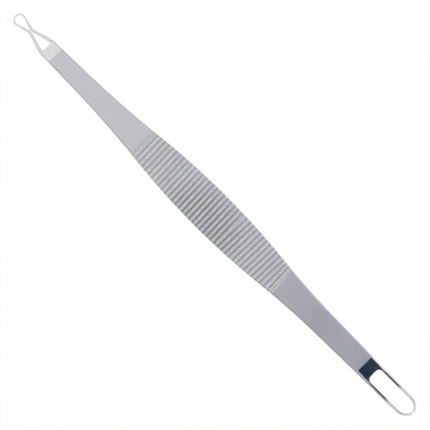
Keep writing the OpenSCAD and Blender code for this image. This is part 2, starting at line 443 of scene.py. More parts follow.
def spread(start: float, end: float, step: float) -> list[float]:
    """Even places from start to end, both included, closer than the step."""
    count = max(1, math.ceil((end - start) / step))
    return [start + (end - start) * i / count for i in range(count + 1)]


def look_up(table: Sequence[Row], at: float, eased: bool = False) -> Row:
    """Reads a table between its rows. Its first and last values hold beyond its ends.

    Args:
        table: rows of a place and the values there, in order of place.
        at: the place.
        eased: whether the values change by a smooth step from row to row.

    Returns:
        The values at the place.
    """
    for (x0, *low), (x1, *high) in zip(table, table[1:]):
        if at <= x1:
            share = max(at - x0, 0.0) / (x1 - x0)
            if eased:
                share = share * share * (3 - 2 * share)
            return tuple(a + (b - a) * share for a, b in zip(low, high))
    return tuple(table[-1][1:])


@dataclass
class Skin:
    """Rings of points, all of one length, that are joined into one closed surface."""

    name: str
    looped: bool
    rings: list[list[Solid]] = field(default_factory=list)
    wear_and_sheen: list[list[float]] = field(default_factory=list)
    groove: list[list[float]] = field(default_factory=list)

    def add(self, ring: list[Solid], wear_and_sheen: list[float], groove: list[float]) -> None:
        """Adds one ring.

        Args:
            ring: the ring's points.
            wear_and_sheen: the mark of worn edges and of the painted crest highlight at each point.
            groove: the groove mark of each point.
        """
        self.rings.append(ring)
        self.wear_and_sheen.append(wear_and_sheen)
        self.groove.append(groove)

    def faces(self) -> list[tuple[int, ...]]:
        """Quads between the rings, and end caps where the skin isn't looped.

        Returns:
            Point numbers of each face.
        """
        count, around = len(self.rings), len(self.rings[0])
        quads = []
        for i in range(count if self.looped else count - 1):
            a, b = i * around, (i + 1) % count * around
            for j in range(around):
                k = (j + 1) % around
                quads.append((a + j, b + j, b + k, a + k))
        if not self.looped:
            quads.append(tuple(range(around)))
            quads.append(tuple((count - 1) * around + j for j in reversed(range(around))))
        return quads

    def build(self, crease: float) -> bpy.types.Object:
        """Makes the object.

        Args:
            crease: edges that turn by more than this many degrees are sharp.

        Returns:
            The new object, in the scene, with its mesh in metres.
        """
        mesh = bpy.data.meshes.new(self.name)
        mesh.from_pydata([tuple(c * MM for c in p) for ring in self.rings for p in ring], [],
                         self.faces())
        # This mark holds worn edges and, on the handle, the painted crest highlight.
        for key, rows in (("wear_and_sheen", self.wear_and_sheen), ("groove", self.groove)):
            layer = mesh.attributes.new(key, "FLOAT", "POINT")
            layer.data.foreach_set("value", [v for row in rows for v in row])
        mesh.shade_smooth()
        mesh.set_sharp_from_angle(angle=math.radians(crease))
        mesh.validate()
        return add_object(self.name, mesh)


# Edge profiles as (distance from the edge, drop) shares: a quarter round and a ground bevel.
ROUND_EDGE: tuple[Plan, ...] = tuple(
    (1 - math.cos(math.radians(a)), 1 - math.sin(math.radians(a))) for a in range(0, 91, 15)
) + ((PROFILE_REACH, 0.0),)
BEVEL_EDGE: tuple[Plan, ...] = (
    (0.0, 1.0), (0.03, 0.86), (0.09, 0.76), (0.5, 0.40), (0.90, 0.05), (0.97, 0.01), (1.03, 0.0),
    (PROFILE_REACH, 0.0))


@dataclass(frozen=True)
class Bend:
    """A bend of flat stock about a line across the tool."""

    start: float
    angle: float
    half_t: float
    inside_r: float = 2.0

    def carry(self, p: Solid) -> Solid:
        """Moves a point of the flat stock to where the bend takes it.

        Args:
            p: the point, with x measured from the seam and z from the middle of the stock.

        Returns:
            The moved point.
        """
        run = p[0] - self.start
        if run <= 0 or self.angle == 0:
            return p
        neutral = self.inside_r + self.half_t
        full = neutral * math.radians(self.angle)
        turn = math.radians(min(run, full) / full * self.angle)
        rest = max(run - full, 0.0)
        arm = neutral - p[2]
        return (self.start + arm * math.sin(turn) + rest * math.cos(turn), p[1],
                neutral - arm * math.cos(turn) + rest * math.sin(turn))


@dataclass
class BandStation:
    """One section of a band round an opening, from its inner edge to its outer edge."""

    inner: Plan
    outer: Plan
    in_root: bool = False

    def mirrored(self) -> "BandStation":
        """The same section on the other side of the tool."""
        return BandStation((self.inner[0], -self.inner[1]), (self.outer[0], -self.outer[1]),
                           self.in_root)


# Handle


@dataclass(frozen=True)
class Neck:
    """One slim end of the handle, with the radius of the hollow curve that leads into it."""

    width: float
    angle: float
    flare_r: float


@dataclass
class SideCurve:
    """One side of the handle, from the grip's widest place out to a seam."""

    reach: float
    neck: Neck
    grip_w: float
    grip_curve_r: float

    def __post_init__(self) -> None:
        """Finds where the grip curve, the hollow curve and the straight neck touch."""
        a, flare_r = math.radians(self.neck.angle), self.neck.flare_r
        grip_c = Vector((0.0, self.grip_w / 2 - self.grip_curve_r))
        neck_end = Vector((self.reach, self.neck.width / 2))
        inward, outward = Vector((-math.cos(a), math.sin(a))), Vector((math.sin(a), math.cos(a)))
        q = neck_end + flare_r * outward - grip_c
        along = q.dot(inward)
        run = -along - math.sqrt(along ** 2 - q.dot(q) + (self.grip_curve_r + flare_r) ** 2)
        self.grip_c = grip_c
        self.flare_c = neck_end + run * inward + flare_r * outward
        toward = (self.flare_c - grip_c).normalized()
        self.grip_end = grip_c.x + self.grip_curve_r * toward.x
        self.flare_end = neck_end.x + run * inward.x

    def half_width(self, away: float) -> float:
        """Half width of the handle.

        Args:
            away: distance from the grip's widest place.

        Returns:
            The half width there.
        """
        if away <= self.grip_end:
            return self.grip_c.y + math.sqrt(self.grip_curve_r ** 2 - away ** 2)
        if away <= self.flare_end:
            flare_r = self.neck.flare_r
            return self.flare_c.y - math.sqrt(flare_r ** 2 - (away - self.flare_c.x) ** 2)
        return self.neck.width / 2 + (self.reach - away) * math.tan(math.radians(self.neck.angle))


@dataclass(frozen=True)
class RibStation:
    """One section of the handle, with what the rib cutter did there and the painted crest highlight
    there.
    """

    x: float
    half_t: float
    groove: float = 0.0
    lean: float = 0.0
    fade: float = 0.0
    painted_sheen: float = 0.0


@dataclass
class Handle:
    """The flat satin handle with its two faces of ribs."""

    seam_x: float
    name: str = "handle_satin"
    length: float = 102.1
    thick: float = 2.0
    grip_w: float = 10.1
    grip_at: float = 51.5
    grip_curve_r: float = 195.0
    edge_r: float = 0.45
    small_neck: Neck = Neck(4.52, 1.4, 260.0)
    large_neck: Neck = Neck(5.46, 1.0, 210.0)
    # Grooves, the floor left flat in each, and the drop of the crests under the plain faces.
    rib_count: int = 39
    rib_pitch: float = 1.164
    ribs_at: float = 29.08
    groove_depth: float = 0.22
    groove_floor: float = 0.1
    crest_drop: float = 0.02
    rib_end_r: float = 0.07
    rib_lead: float = 0.05
    # The cutter was set again after this groove, so the next rib is wider by this step.
    reset_groove: int = 24
    reset_step: float = 0.31
    # The two end grooves are shallower, and fade toward the upper edge.
    end_share: float = 0.85
    end_fade: float = 0.9
    # Lean of the cutter at some grooves, as x gained for each y.
    lean: tuple[Plan, ...] = ((24.0, -0.027), (25.0, 0.028), (36.5, 0.028), (38.0, -0.035))
    # The painted highlight line on each crest: its strength, the share left at the tool's middle, the
    # growth toward the large loop and its half width.
    painted_sheen: float = 0.85
    sheen_middle: float = 0.5
    sheen_growth: float = 1.4
    sheen_reach: float = 0.19
    # Where the line lies, from the crest's middle: for each x, everywhere, and far right.
    sheen_slope: float = 0.0069
    sheen_shift: float = -0.02
    sheen_late: float = 0.10
    last_sheen: float = -0.12
    # Wear along the long edges, which the grooves interrupt.
    edge_wear: float = 0.35
    round_wear: float = 0.5
    groove_spared: float = 0.6
    # How finely the mesh is divided.
    plain_step: float = 1.3
    face_steps: int = 4
    crest_steps: int = 10
    corner_steps: int = 3
    round_steps: int = 5
    crease: float = 40.0

    def __post_init__(self) -> None:
        """Works out the two side curves."""
        self.grip_x = self.seam_x + self.grip_at
        self.small_side = SideCurve(self.grip_at, self.small_neck, self.grip_w,
                                    self.grip_curve_r)
        self.large_side = SideCurve(self.length - self.grip_at, self.large_neck, self.grip_w,
                                    self.grip_curve_r)

    def half_width(self, x: float) -> float:
        """Half width of the handle at a place along the tool."""
        away = x - self.grip_x
        return (self.large_side if away > 0 else self.small_side).half_width(abs(away))

    def groove_x(self, k: int) -> float:
        """Place of one groove along the tool."""
        late = self.reset_step if self.reset_groove < k < self.rib_count else 0.0
        return self.seam_x + self.ribs_at + k * self.rib_pitch + late

    def lean_at(self, k: float) -> float:
        """Lean of the cutter at a place counted in grooves, as x gained for each y."""
        return look_up(self.lean, k)[0]

    def stations(self) -> list[RibStation]:
        """Sections along the handle, close together where the ribs are.

        Returns:
            The sections in order along the tool.
        """
        full, end_k = self.thick / 2, self.rib_count + 1
        start = self.groove_x(0) - self.rib_pitch / 2
        end = self.groove_x(self.rib_count) + self.rib_pitch / 2
        before = spread(self.seam_x, start - self.rib_lead, self.plain_step)
        after = spread(end + self.rib_lead, self.seam_x + self.length, self.plain_step)
        rows = [RibStation(x, full) for x in before]
        rows.append(RibStation(start, full, lean=self.lean_at(-1)))
        for k in range(end_k + 1):
            rows += self.rib(k)
        rows.append(RibStation(end, full, lean=self.lean_at(end_k)))
        return rows + [RibStation(x, full) for x in after]

    def rib(self, k: int) -> list[RibStation]:
        """Sections over one rounded rib, from groove floor to groove floor.

        Args:
            k: number of the groove after the rib. Of the first and the last rib, only the half
                beside the end groove is cut.

        Returns:
            The rib's sections.
        """
        first, last = self.groove_x(0), self.groove_x(self.rib_count)
        left = first - self.rib_pitch if k == 0 else self.groove_x(k - 1)
        right = last + self.rib_pitch if k > self.rib_count else self.groove_x(k)
        half, mid = (right - left - self.groove_floor) / 2, (left + right) / 2
        crown_r = (half ** 2 + self.groove_depth ** 2) / (2 * self.groove_depth)
        # Place and strength of the painted highlight line on this crest.
        sheen_at, painted_sheen = self.sheen_line(k, mid)
        rows = []
        for i in range(self.crest_steps + 1):
            off = -half * math.cos(math.pi * i / self.crest_steps)
            if (k == 0 and off < 0) or (k > self.rib_count and off > 0):
                continue
            sag = crown_r - math.sqrt(crown_r * crown_r - off * off)
            at_end = k in (0, self.rib_count + 1) or (k == 1 and off < 0) \
                or (k == self.rib_count and off > 0)
            share = sag / self.groove_depth * (self.end_share if at_end else 1.0)
            rows.append(RibStation(
                mid + off, self.thick / 2 - self.crest_drop - sag,
                CREST_MARK + (1 - CREST_MARK) * share,
                self.lean_at(k - 0.5 + off / (2 * half)),
                self.end_fade if at_end else 0.0,
                painted_sheen * math.exp(-((off - sheen_at) / self.sheen_reach) ** 2)))
        return rows

    def sheen_line(self, k: int, mid: float) -> Plan:
        """Painted highlight line on one crest, stronger toward both ends and most at the large
        loop's.

        Args:
            k: number of the groove after the rib.
            mid: the rib's middle along the tool.

        Returns:
            The line's distance from the rib's middle, and its strength.
        """
        reach = -self.groove_x(0)
        past = max(0.0, mid / reach)
        sheen_at = self.sheen_slope * mid + self.sheen_shift + self.sheen_late * past
        away = self.sheen_middle + (1 - self.sheen_middle) * min(1.0, abs(mid / reach))
        painted_sheen = self.painted_sheen * (away + self.sheen_growth * past * past)
        return (self.last_sheen if k > self.rib_count else sheen_at), painted_sheen

    def quarter(self, half_w: float, half_t: float) -> list[Solid]:
        """Profile from the middle of a face to the middle of a side.

        Args:
            half_w: half width of the section.
            half_t: half thickness, after the groove is cut.

        Returns:
            Rows of (y, z, wear).
        """
        r, full = self.edge_r, self.thick / 2
        rise = min(1.0, (half_t - (full - r)) / r)
        a0 = math.asin(rise)
        corner = half_w - r + r * math.cos(a0)
        a1 = a0 - self.rib_end_r / r
        flat_end = corner - self.rib_end_r
        rows = [(flat_end * i / self.face_steps, half_t, 0.0) for i in range(self.face_steps)]
        ends = (Vector((flat_end, half_t)), Vector((corner, half_t)),
                Vector((half_w - r + r * math.cos(a1), full - r + r * math.sin(a1))))
        for i in range(self.corner_steps + 1):
            t = i / self.corner_steps
            p = ends[0] * (1 - t) ** 2 + ends[1] * 2 * t * (1 - t) + ends[2] * t ** 2
            wear_and_sheen = self.round_wear + (1 - self.round_wear) * math.sin(math.pi * t)
            rows.append((p.x, p.y, wear_and_sheen))
        for i in range(1, self.round_steps + 1):
            left = 1 - i / self.round_steps
            rows.append((half_w - r + r * math.cos(a1 * left), full - r + r * math.sin(a1 * left),
                         self.round_wear * left))
        rows.append((half_w, 0.0, 0.0))
        return rows

    def build(self) -> bpy.types.Object:
        """Lofts the handle through all its sections.

        Returns:
            The handle's object.
        """
        skin = Skin(self.name, looped=False)
        full = self.thick / 2
        for row in self.stations():
            half_w = self.half_width(row.x)
            q = self.quarter(half_w, row.half_t)
            side = q + [(y, -z, w) for y, z, w in reversed(q[:-1])]
            loop = side + [(-y, z, w) for y, z, w in reversed(side[1:-1])]
            points, wear_and_sheen, groove = [], [], []
            for y, z, w in loop:
                far = row.fade * (0.5 + 0.5 * y / half_w)
                lift = 1 + (full / row.half_t - 1) * far
                edge = self.edge_wear * w * (1 - self.groove_spared * row.groove)
                over = max(0.0, row.groove - CREST_MARK)
                points.append((row.x + row.lean * y, y, z * lift + full))
                # This mark holds the worn edges and the painted highlight line on the crests.
                wear_and_sheen.append(max(edge, row.painted_sheen * (1 - far)))
                groove.append(row.groove - over * far)
            skin.add(points, wear_and_sheen, groove)
        return skin.build(self.crease)


# Loops


@dataclass
class Loop:
    """A polished loop: a tapered root and a bent strand round an opening.

    Its plan is drawn flat, with places along it measured from its seam. The way is 1 for a loop
    that points along x and -1 for one that points back.
    """

    seam_x: float
    neck_w: float
    root_half_t: float
    name: str
    way: int
    root_len: float
    strand_half_t: float
    end_half_t: float
    bend_angle: float
    outer_edge: tuple[Plan, ...]
    face_steps: int = 5
    # Most of a section that its two edges may fill, and least of its thickness that they leave.
    edge_fill: float = 0.95
    edge_least: float = 0.12
    crease: float = 38.0
    bend: Bend = field(init=False)
    tip_at: float = field(init=False)
    # Rows of a distance from the seam, with an edge's width and depth there.
    outer_sizes: tuple[Solid, ...] = field(init=False)
    inner_sizes: tuple[Solid, ...] = field(init=False)

    def stations(self) -> list[BandStation]:
        """Sections from the middle of the root round one side to the tip."""
        raise NotImplementedError

    def half_thick(self, x: float) -> float:
        """Half thickness of the flat stock.

        Args:
            x: distance from the seam.

        Returns:
            The half thickness there.
        """
        base = (self.root_len, self.strand_half_t)
        if x < self.root_len:
            return look_up(((0.0, self.root_half_t), base), x)[0]
        return look_up((base, (self.tip_at, self.end_half_t)), x, eased=True)[0]

    def edge_size(self, x: float, y: float) -> Plan:
        """Width and depth of the outer edge's profile at a place in the flat plan."""
        return look_up(self.outer_sizes, x)

    def from_side(self, p: Vector) -> float:
        """Distance of a point of the root from the root's outer side."""
        raise NotImplementedError

    def section(self, station: BandStation) -> tuple[list[Solid], list[float]]:
        """Ring of points round one section, its top first.

        Args:
            station: the section's place in the flat plan.

        Returns:
            Points in the flat frame, and the wear at each.
        """
        inner, outer = Vector(station.inner), Vector(station.outer)
        length = (outer - inner).length
        in_w, in_d = look_up(self.inner_sizes, inner.x)
        out_w, _ = self.edge_size(outer.x, outer.y)
        fit = min(1.0, length * self.edge_fill / ((in_w + out_w) * PROFILE_REACH))
        reaches = [share * in_w * fit for share, _ in ROUND_EDGE]
        far = [length - share * out_w * fit for share, _ in reversed(self.outer_edge)]
        gap = far[0] - reaches[-1]
        reaches += [reaches[-1] + gap * i / self.face_steps for i in range(1, self.face_steps)]
        reaches += far
        tops: list[Solid] = []
        wear_and_sheen: list[float] = []
        for reach in reaches:
            p = inner + (outer - inner) * (reach / length)
            edge_w, edge_d = self.edge_size(p.x, p.y)
            away = max(0.0, self.from_side(p)) if station.in_root else length - reach
            half_t = self.half_thick(p.x)
            out_fit = 1.0 if station.in_root else fit
            out_drop = look_up(self.outer_edge, away / (edge_w * out_fit))[0] * edge_d
            in_drop = look_up(ROUND_EDGE, reach / (in_w * fit))[0] * in_d
            tops.append((p.x, p.y, max(half_t - out_drop - in_drop, self.edge_least * half_t)))
            wear_and_sheen.append(min(1.0, out_drop / edge_d + in_drop / in_d))
        ring = tops + [(x, y, -z) for x, y, z in reversed(tops)]
        return ring, wear_and_sheen + wear_and_sheen[::-1]

    def build(self) -> bpy.types.Object:
        """Skins the band all round its opening.

        Returns:
            The loop's object.
        """
        half = self.stations()
        round_trip = half + [s.mirrored() for s in reversed(half[1:-1])]
        skin = Skin(self.name, looped=True)
        for station in round_trip:
            ring, wear_and_sheen = self.section(station)
            placed = []
            for p in ring:
                x, y, z = self.bend.carry(p)
                placed.append((self.seam_x + self.way * x, y, z + self.root_half_t))
            skin.add(placed if self.way > 0 else placed[::-1],
                     wear_and_sheen if self.way > 0 else wear_and_sheen[::-1], [0.0] * len(wear_and_sheen))
        return skin.build(self.crease)


def arc(centre: Plan, radius: float, start: float, end: float, steps: int) -> list[Plan]:
    """Points of an arc, both ends included, with angles in degrees."""
    turns = [math.radians(start + (end - start) * i / steps) for i in range(steps + 1)]
    return [(centre[0] + radius * math.cos(a), centre[1] + radius * math.sin(a)) for a in turns]


def crossing(start: Plan, end: Plan, radii: float, side: int) -> float:
    """Heading, in degrees, of the straight line between two bends that turn opposite ways."""
    dx, dy = end[0] - start[0], end[1] - start[1]
    return math.degrees(math.atan2(dy, dx) + side * math.asin(radii / math.hypot(dx, dy)))


@dataclass
class SmallLoop(Loop):
    """The keyhole-shaped small loop: teardrop opening, tight waist and a round eye."""

    name: str = "small_loop_polished"
    way: int = -1
    root_len: float = 2.8
    strand_half_t: float = 0.475
    end_half_t: float = 0.3
    bend_angle: float = 8.0
    outer_edge: tuple[Plan, ...] = ROUND_EDGE
    eye_d: float = 2.25
    eye_at: float = 11.8
    eye_strand: float = 0.4
    slit_w: float = 0.25
    waist_strand: float = 0.62
    waist_at: float = 8.1
    waist_r: float = 2.5
    arm_strand: float = 0.82
    shoulder_at: float = 2.5
    shoulder_r: float = 2.4
    corner_r: float = 0.35
    # Where the strand's width starts and stops to change, from the shoulder, waist and eye.
    arm_full: float = 1.4
    waist_before: float = 1.1
    waist_after: float = 0.5
    eye_before: float = 1.0
    # Width and depth of the outer rounding at the seam, the root's end and the waist.
    edge_seam: Plan = (0.45, 0.45)
    edge_root: Plan = (0.30, 0.34)
    edge_waist: Plan = (0.18, 0.26)
    # The same for the inner rounding, at the teardrop's base and a short run further out.
    inner_base: Plan = (0.14, 0.14)
    inner_strand: Plan = (0.18, 0.26)
    inner_run: float = 2.0
    # How finely the mesh is divided.
    seam_steps: int = 12
    seam_rows: int = 10
    side_steps: int = 10
    fillet_steps: int = 16
    arm_steps: int = 5
    waist_steps: int = 22
    eye_steps: int = 34
    strand_step: float = 0.3

    def __post_init__(self) -> None:
        """Places the shoulder bend, whose outer side starts inside the root, and the tip."""
        self.bend = Bend(self.root_len, self.bend_angle, self.root_half_t)
        self.tip_at = self.eye_at + self.eye_d / 2 + self.eye_strand
        self.shoulder_c = (self.shoulder_at,
                           self.neck_w / 2 - self.arm_strand / 2 - self.shoulder_r)
        self.outer_r = self.shoulder_r + self.arm_strand / 2
        self.inner_r = self.shoulder_r - self.arm_strand / 2
        self.outer_sizes = ((0.0, *self.edge_seam), (self.root_len, *self.edge_root),
                            (self.waist_at, *self.edge_waist))
        self.inner_sizes = ((self.root_len, *self.inner_base),
                            (self.root_len + self.inner_run, *self.inner_strand))
        self.widths = ((self.shoulder_at + self.arm_full, self.arm_strand),
                       (self.waist_at - self.waist_before, self.waist_strand),
                       (self.waist_at + self.waist_after, self.waist_strand),
                       (self.eye_at - self.eye_before, self.eye_strand))

    def from_side(self, p: Vector) -> float:
        """Distance from the root's straight side, or past the shoulder from its curve."""
        past = self.outer_r - math.dist((p.x, abs(p.y)), self.shoulder_c)
        return self.neck_w / 2 - abs(p.y) if p.x <= self.shoulder_at else past

    def stations(self) -> list[BandStation]:
        """Sections of the root, the shoulder, the waist and the eye.

        Returns:
            Sections from the middle of the root round to the tip.
        """
        side, base_x, fillet = self.neck_w / 2, self.root_len, self.corner_r
        rise = math.sqrt((self.inner_r - fillet) ** 2 - (base_x + fillet - self.shoulder_at) ** 2)
        fillet_c = (base_x + fillet, self.shoulder_c[1] + rise)
        start = math.degrees(math.atan2(rise, base_x + fillet - self.shoulder_at))
        seam = [side * i / self.seam_steps for i in range(self.seam_rows)]
        seam += [side - share * self.edge_seam[0] for share, _ in reversed(ROUND_EDGE[:-1])]
        rows = [BandStation((base_x, fillet_c[1] * i / (len(seam) - 1)), (0.0, y), True)
                for i, y in enumerate(seam)]
        fan = arc(fillet_c, fillet, 180, start, self.fillet_steps)[1:]
        outside = [(self.shoulder_at * i / self.side_steps, side)
                   for i in range(1, self.side_steps + 1)]
        outside += arc(self.shoulder_c, self.outer_r, 90, start,
                       self.fillet_steps - self.side_steps)[1:]
        rows += [BandStation(p, q, True) for p, q in zip(fan, outside)]
        return rows + self.strand(self.middle_line(start))

    def middle_line(self, start: float) -> list[Plan]:
        """Middle line of the strand: shoulder, waist and eye, joined by straight runs.

        Args:
            start: heading of the shoulder's radius where the line leaves the root, in degrees.

        Returns:
            The line's points, about the strand's step apart on the straight runs.
        """
        waist_c = (self.waist_at, self.slit_w / 2 + self.waist_strand / 2 + self.waist_r)
        eye_r = self.eye_d / 2 + self.eye_strand / 2
        arm_slope = crossing(self.shoulder_c, waist_c, self.shoulder_r + self.waist_r, -1)
        eye_slope = crossing(waist_c, (self.eye_at, 0.0), self.waist_r + eye_r, 1)
        line = arc(self.shoulder_c, self.shoulder_r, start, 90 + arm_slope, self.arm_steps)
        waist = arc(waist_c, self.waist_r, arm_slope - 90, eye_slope - 90, self.waist_steps)
        eye = arc((self.eye_at, 0.0), eye_r, 90 + eye_slope, 0, self.eye_steps)
        for piece in (waist, eye):
            a, b = line[-1], piece[0]
            count = max(1, round(math.dist(a, b) / self.strand_step))
            line += [look_up(((0, *a), (count, *b)), i) for i in range(1, count)] + piece
        return line

    def strand(self, line: list[Plan]) -> list[BandStation]:
        """Sections along the middle line of the strand, square to it.

        Args:
            line: points of the middle line, from the shoulder to the tip.

        Returns:
            One section for each point after the first.
        """
        rows = []
        for i in range(1, len(line)):
            a = line[i - 1]
            b = line[min(i + 1, len(line) - 1)]
            head = (Vector(b) - Vector(a)).normalized() if i < len(line) - 1 else Vector((0, -1))
            width = look_up(self.widths, line[i][0], eased=True)[0]
            half = Vector((-head.y, head.x)) * width / 2
            mid = Vector(line[i])
            rows.append(BandStation(tuple(mid - half), tuple(mid + half)))
        return rows


@dataclass
class LargeLoop(Loop):
    """The long open loop: mirror root, straight bevelled strands and a half-oval end."""

    name: str = "large_loop_polished"
    way: int = 1
    root_len: float = 4.5
    strand_half_t: float = 0.45
    end_half_t: float = 0.35
    bend_angle: float = 25.0
    outer_edge: tuple[Plan, ...] = BEVEL_EDGE
    bend_at: float = 9.0
    loop_w: float = 3.78
    strand_w: float = 0.76
    end_strand: float = 0.56
    opening_at: float = 3.12
    corner_r: float = 1.1
    bent_len: float = 7.55
    oval_len: float = 3.1
    # Ground off the strand's outer side between the bend and the oval.
    past_trim: float = 0.08
    # Width of the root's bevel on the far and the near side, and the half width over which it
    # changes from one to the other.
    far_bevel: float = 0.28
    near_bevel: float = 0.70
    bevel_turn: float = 1.2
    # Width and depth of the bevel at the seam, the root's end, the bend and a run past it.
    bevel_seam: Plan = (0.34, 0.45)
    bevel_root: Plan = (0.34, 0.30)
    bevel_bend: Plan = (0.28, 0.26)
    bevel_end: Plan = (0.24, 0.30)
    bevel_run: float = 4.0
    # The same for the inner rounding, before the bend and a run past it.
    inner_strand: Plan = (0.08, 0.08)
    inner_end: Plan = (0.22, 0.26)
    inner_run: float = 3.0
    # How finely the mesh is divided.
    face_steps: int = 18
    seam_steps: int = 16
    seam_rows: int = 11
    fillet_steps: int = 20
    bend_steps: int = 8
    oval_steps: int = 36
    root_gap: float = 0.3
    strand_step: float = 0.8
    bent_step: float = 0.6

    def __post_init__(self) -> None:
        """Places the bend and the tip."""
        self.bend = Bend(self.bend_at, self.bend_angle, self.root_half_t)
        self.tip_at = self.bend_at + self.bent_len + self.end_strand / 2
        self.outer_sizes = ((0.0, *self.bevel_seam), (self.root_len, *self.bevel_root),
                            (self.bend_at, *self.bevel_bend),
                            (self.bend_at + self.bevel_run, *self.bevel_end))
        self.inner_sizes = ((self.bend_at, *self.inner_strand),
                            (self.bend_at + self.inner_run, *self.inner_end))

    def from_side(self, p: Vector) -> float:
        """Distance from the root's straight side."""
        return self.side_y(p.x) - abs(p.y)

    def side_y(self, x: float) -> float:
        """Half width of the root, which narrows a little toward the strands."""
        strands = (self.root_len, self.loop_w / 2 + self.strand_w)
        return look_up(((0.0, self.neck_w / 2), strands), x)[0]

    def edge_size(self, x: float, y: float) -> Plan:
        """Outer bevel: ground wider on the near side, and narrow past the bend.

        Args:
            x: distance from the seam.
            y: distance across, from the near side to the far side.

        Returns:
            Width and depth of the bevel.
        """
        nearness = (1 - min(1.0, max(-1.0, y / self.bevel_turn))) / 2
        seam_w = self.far_bevel + (self.near_bevel - self.far_bevel) * nearness
        along_root = min(1.0, max(0.0, x / self.root_len))
        wide, deep = look_up(self.outer_sizes, x)
        return wide + (seam_w - self.bevel_seam[0]) * (1 - along_root ** 2), deep

    def stations(self) -> list[BandStation]:
        """Sections of the root, the straight strand, the bend and the half-oval end.

        Returns:
            Sections from the middle of the root round to the tip.
        """
        inner_y, fillet = self.loop_w / 2, self.corner_r
        reach = self.opening_at + fillet
        seam = [self.neck_w / 2 * i / self.seam_steps for i in range(self.seam_rows)]
        seam += sorted({self.neck_w / 2 - share * wide for share, _ in self.outer_edge
                        for wide in (self.far_bevel, self.near_bevel)})
        rows = [BandStation((self.opening_at, (inner_y - fillet) * i / (len(seam) - 1)),
                            (0.0, y), True) for i, y in enumerate(seam)]
        fan = arc((reach, inner_y - fillet), fillet, 180, 90, self.fillet_steps)[1:]
        for i, p in enumerate(fan, 1):
            x = reach * i / self.fillet_steps
            rows.append(BandStation(p, (x, self.side_y(x)), True))
        oval_at = self.bend_at + self.bent_len - self.oval_len
        trim = self.past_trim / (oval_at - self.bend_at)
        outer_y = inner_y + self.strand_w
        rows += [BandStation((x, inner_y), (x, outer_y - trim * max(0.0, x - self.bend_at)))
                 for x in self.strand_places(reach, oval_at)]
        return rows + self.oval(oval_at)

    def strand_places(self, start: float, end: float) -> list[float]:
        """Places of the strand's sections, close together round the bend.

        Args:
            start: where the root's sections stop.
            end: where the oval starts.

        Returns:
            The places, as distances from the seam.
        """
        bent = (self.bend.inside_r + self.bend.half_t) * math.radians(self.bend_angle)
        places = spread(max(start + self.root_gap, self.root_len), self.bend_at, self.strand_step)
        places += [self.bend_at + bent * i / self.bend_steps
                   for i in range(1, self.bend_steps + 1)]
        return places + spread(self.bend_at + bent, end, self.bent_step)[1:-1]

    def oval(self, oval_at: float) -> list[BandStation]:
        """Sections round the half-oval end, square to its middle line.

        Args:
            oval_at: where the oval starts.

        Returns:
            Sections from the strand round to the tip.
        """
        side_w = self.strand_w - self.past_trim
        mid_y = self.loop_w / 2 + side_w / 2
        end_y = self.loop_w / 2 + self.end_strand / 2
        rows = []
        for i in range(self.oval_steps + 1):
            a = math.radians(90 - 90 * i / self.oval_steps)
            half_w = mid_y + (end_y - mid_y) * math.cos(a)
            width = side_w + (self.end_strand - side_w) * math.cos(a)
            mid = Vector((oval_at + self.oval_len * math.cos(a), half_w * math.sin(a)))
            out = Vector((half_w * math.cos(a), self.oval_len * math.sin(a))).normalized()
            rows.append(BandStation(tuple(mid - out * width / 2), tuple(mid + out * width / 2)))
        return rows


# Studio


@dataclass(frozen=True)
class Card:
    """A level or upright card that only reflections show.

    Its colour turns from near to far over one range, its fade, of one axis.
    """

    name: str
    axis: str
    fade: Plan
    near: Solid
    far: Solid
    x: Plan
    y: Plan
    z: Plan

    def corners(self) -> list[Solid]:
        """The card's four corners."""
        (x0, x1), (y0, y1), (z0, z1) = self.x, self.y, self.z
        return [(x0, y0, z0), (x1, y0, z0), (x1, y1, z1), (x0, y1, z1)]


@dataclass(frozen=True)
class Slats(Card):
    """Upright slats that stand before a flag, which is then dark only when met squarely."""

    gap: float = 14.0
    depth: float = 12.0

    def corners(self) -> list[Solid]:
        """Corners of all the slats.

        Returns:
            Four corners for each slat, from the flag's far end back.
        """
        (left, right), y, (low, high) = self.x, self.y[0], self.z
        front = y - math.copysign(self.depth, y)
        corners: list[Solid] = []
        for i in range(int((right - left) / self.gap) + 1):
            x = right - i * self.gap
            corners += [(x, y, low), (x, front, low), (x, front, high), (x, y, high)]
        return corners


# The flags stand along the tool on both sides, and stop short of the large loop's end.
FLAG_X: Plan = (-110.0, 61.0)
NEAR_FLAG: tuple[Plan, Plan, Plan] = (FLAG_X, (-62.0, -62.0), (3.0, 85.0))
FAR_FLAG: tuple[Plan, Plan, Plan] = (FLAG_X, (62.0, 62.0), (3.0, 51.0))
PALE: Solid = (0.97, 0.97, 0.97)
SLAT_TONE: Solid = (0.92, 0.92, 0.92)


